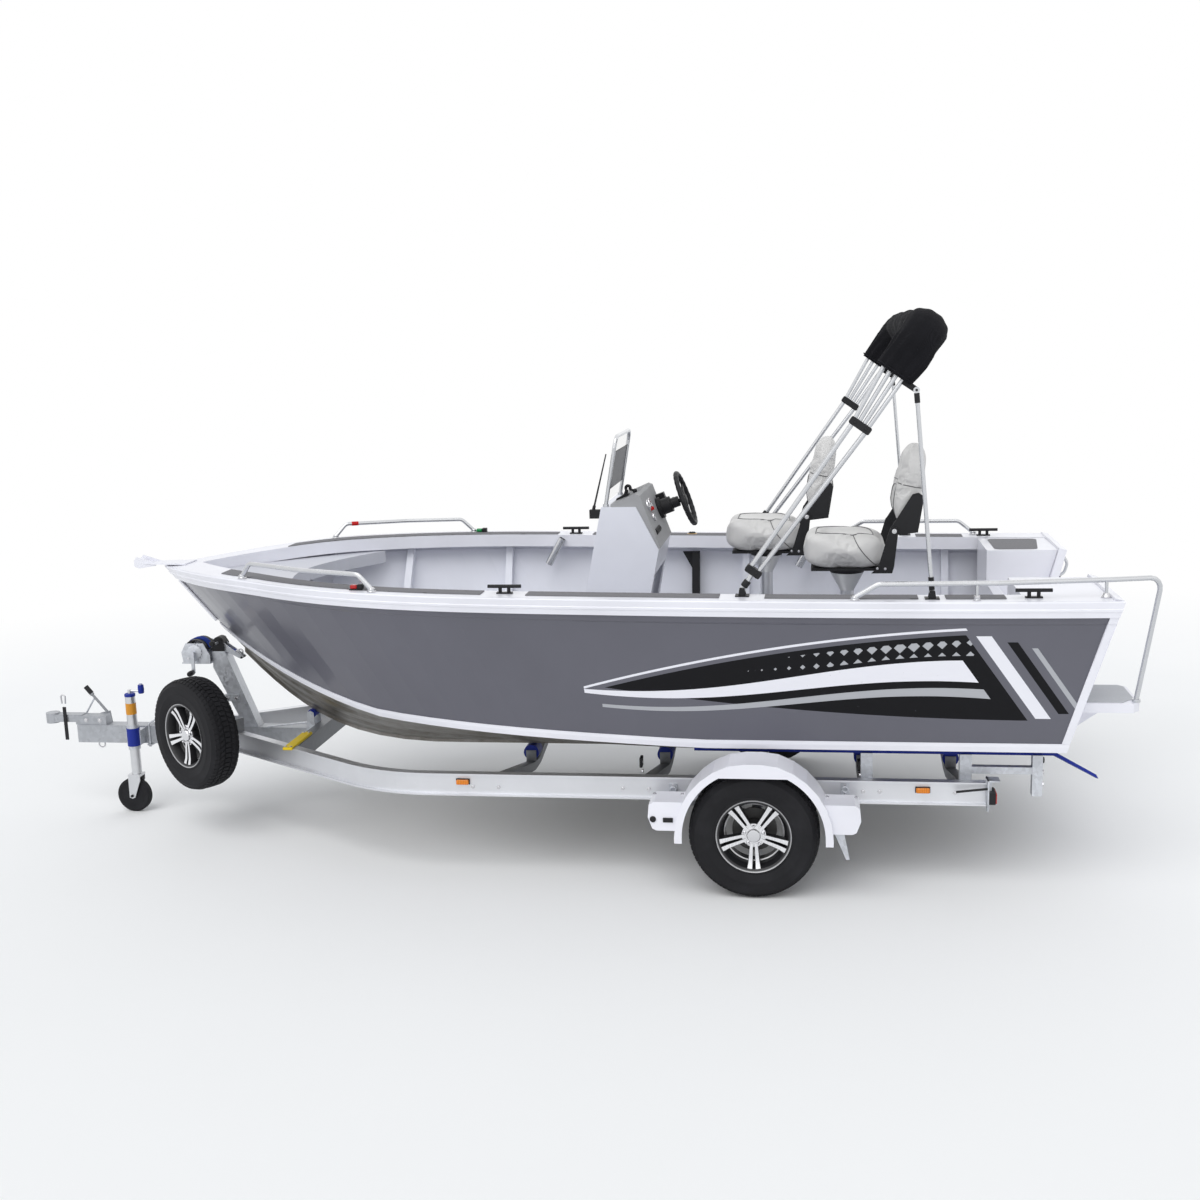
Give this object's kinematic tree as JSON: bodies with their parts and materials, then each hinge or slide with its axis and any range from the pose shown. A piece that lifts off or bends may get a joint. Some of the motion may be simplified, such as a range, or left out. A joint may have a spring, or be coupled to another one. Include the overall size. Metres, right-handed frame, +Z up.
{
  "type": "aluminium center console boat",
  "caption": "Open aluminium center console boat with a folded canopy frame and two seats, held on a curved-rail galvanised road trailer with a spare wheel.",
  "frame": {"origin": "centre of the bounding box's footprint, on the ground plane", "axes": "+X forward to the bow and the trailer's coupler, +Y to port, +Z up"},
  "size_m": [6.37, 2.51, 2.8325],
  "materials": {
    "hull_gray": "satin",
    "white_paint": "satin",
    "light_gray_paint": "satin",
    "mid_gray_pad": "matte",
    "alloy": "satin",
    "galvanised": "satin",
    "stainless": "gloss",
    "black_plastic": "matte",
    "black_steel": "satin",
    "vinyl": "satin",
    "canvas": "matte",
    "tinted_pane": "gloss",
    "tyre_rubber": "matte",
    "blue_rubber": "satin",
    "wheel_alloy": "satin"
  },
  "bodies": {
    "boat_and_trailer": {"hull_sides": "hull_gray", "hull_bottom": "hull_gray", "transom": "white_paint", "hull_trim": "white_paint", "gunwale_band": "white_paint", "side_decks": "light_gray_paint", "deck_pads": "mid_gray_pad", "foredeck": "light_gray_paint", "bowsprit": "white_paint", "cockpit_floor": "light_gray_paint", "side_ribs": "light_gray_paint", "stern_deck": "light_gray_paint", "bow_rails": "stainless", "stern_rails": "stainless", "swim_steps": "light_gray_paint", "cleats": "black_plastic", "rod_holders": "stainless", "console": "light_gray_paint", "dash": "mid_gray_pad", "windscreen_frame": "alloy", "windscreen_pane": "tinted_pane", "helm_hub": "black_plastic", "seat_pedestals": "alloy", "canopy_mounts": "black_plastic", "side_rails": "galvanised", "crossmembers": "galvanised", "drawbar": "galvanised", "coupler": "galvanised", "handbrake": "black_steel", "jockey_clamp": "galvanised", "winch_post": "galvanised", "winch": "galvanised", "bow_rest": "blue_rubber", "spare_carrier": "galvanised", "spare_tyre": "tyre_rubber", "spare_rim": "wheel_alloy", "keel_rollers": "blue_rubber", "skids": "blue_rubber", "axle": "galvanised", "mudguards": "galvanised"},
    "wheel_port": {"tyre_port": "tyre_rubber", "rim_port": "wheel_alloy"},
    "wheel_starboard": {"tyre_starboard": "tyre_rubber", "rim_starboard": "wheel_alloy"},
    "jockey_leg": {"jockey_leg": "galvanised"},
    "jockey_fork": {"jockey_fork": "galvanised"},
    "jockey_wheel": {"jockey_wheel": "black_plastic"},
    "steering_wheel": {"steering_wheel": "black_plastic"},
    "seat_port": {"seat_base_port": "black_steel", "seat_cushion_port": "vinyl"},
    "seat_back_port": {"seat_arms_port": "black_steel", "seat_back_port": "vinyl"},
    "seat_starboard": {"seat_base_starboard": "black_steel", "seat_cushion_starboard": "vinyl"},
    "seat_back_starboard": {"seat_arms_starboard": "black_steel", "seat_back_starboard": "vinyl"},
    "bimini": {"bimini_frame": "alloy", "bimini_boot": "canvas"},
    "bimini_struts": {"bimini_struts": "alloy"}
  },
  "joints": [
    {"name": "wheel_port_spin", "type": "hinge", "parent": "boat_and_trailer", "child": "wheel_port", "pos_m": [-1.24494, 1.13, 0.325], "axis": [0, 1, 0], "continuous": true},
    {"name": "wheel_starboard_spin", "type": "hinge", "parent": "boat_and_trailer", "child": "wheel_starboard", "pos_m": [-1.24494, -1.13, 0.325], "axis": [0, 1, 0], "continuous": true},
    {"name": "jockey_lift", "type": "slide", "parent": "boat_and_trailer", "child": "jockey_leg", "axis": [0, 0, 1], "range_m": [0, 0.14]},
    {"name": "jockey_swivel", "type": "hinge", "parent": "jockey_leg", "child": "jockey_fork", "pos_m": [2.55506, 0.125, 0.24], "axis": [0, 0, 1], "continuous": true},
    {"name": "jockey_wheel_spin", "type": "hinge", "parent": "jockey_fork", "child": "jockey_wheel", "pos_m": [2.58006, 0.125, 0.105], "axis": [0, 1, 0], "continuous": true},
    {"name": "helm_turn", "type": "hinge", "parent": "boat_and_trailer", "child": "steering_wheel", "pos_m": [-0.80994, -0.18, 1.847], "axis": [-0.9397, 0, 0.342], "range_deg": [-540, 540]},
    {"name": "seat_port_swivel", "type": "hinge", "parent": "boat_and_trailer", "child": "seat_port", "pos_m": [-1.71494, 0.31, 1.54], "axis": [0, 0, 1], "range_deg": [-90, 60]},
    {"name": "seat_starboard_swivel", "type": "hinge", "parent": "boat_and_trailer", "child": "seat_starboard", "pos_m": [-1.26494, -0.31, 1.54], "axis": [0, 0, 1], "range_deg": [-90, 90]},
    {"name": "seat_back_port_fold", "type": "hinge", "parent": "seat_port", "child": "seat_back_port", "pos_m": [-1.94994, 0.31, 1.745], "axis": [0, 1, 0], "range_deg": [0, 97]},
    {"name": "seat_back_starboard_fold", "type": "hinge", "parent": "seat_starboard", "child": "seat_back_starboard", "pos_m": [-1.49994, -0.31, 1.745], "axis": [0, 1, 0], "range_deg": [0, 97]},
    {"name": "bimini_tilt", "type": "hinge", "parent": "boat_and_trailer", "child": "bimini", "pos_m": [-1.19494, 0, 1.53495], "axis": [0, 1, 0], "range_deg": [0, 35]},
    {"name": "bimini_strut_swing", "type": "hinge", "parent": "bimini", "child": "bimini_struts", "pos_m": [-2.01689, 0, 2.48407], "axis": [0, -1, 0], "range_deg": [0, 30]}
  ]
}
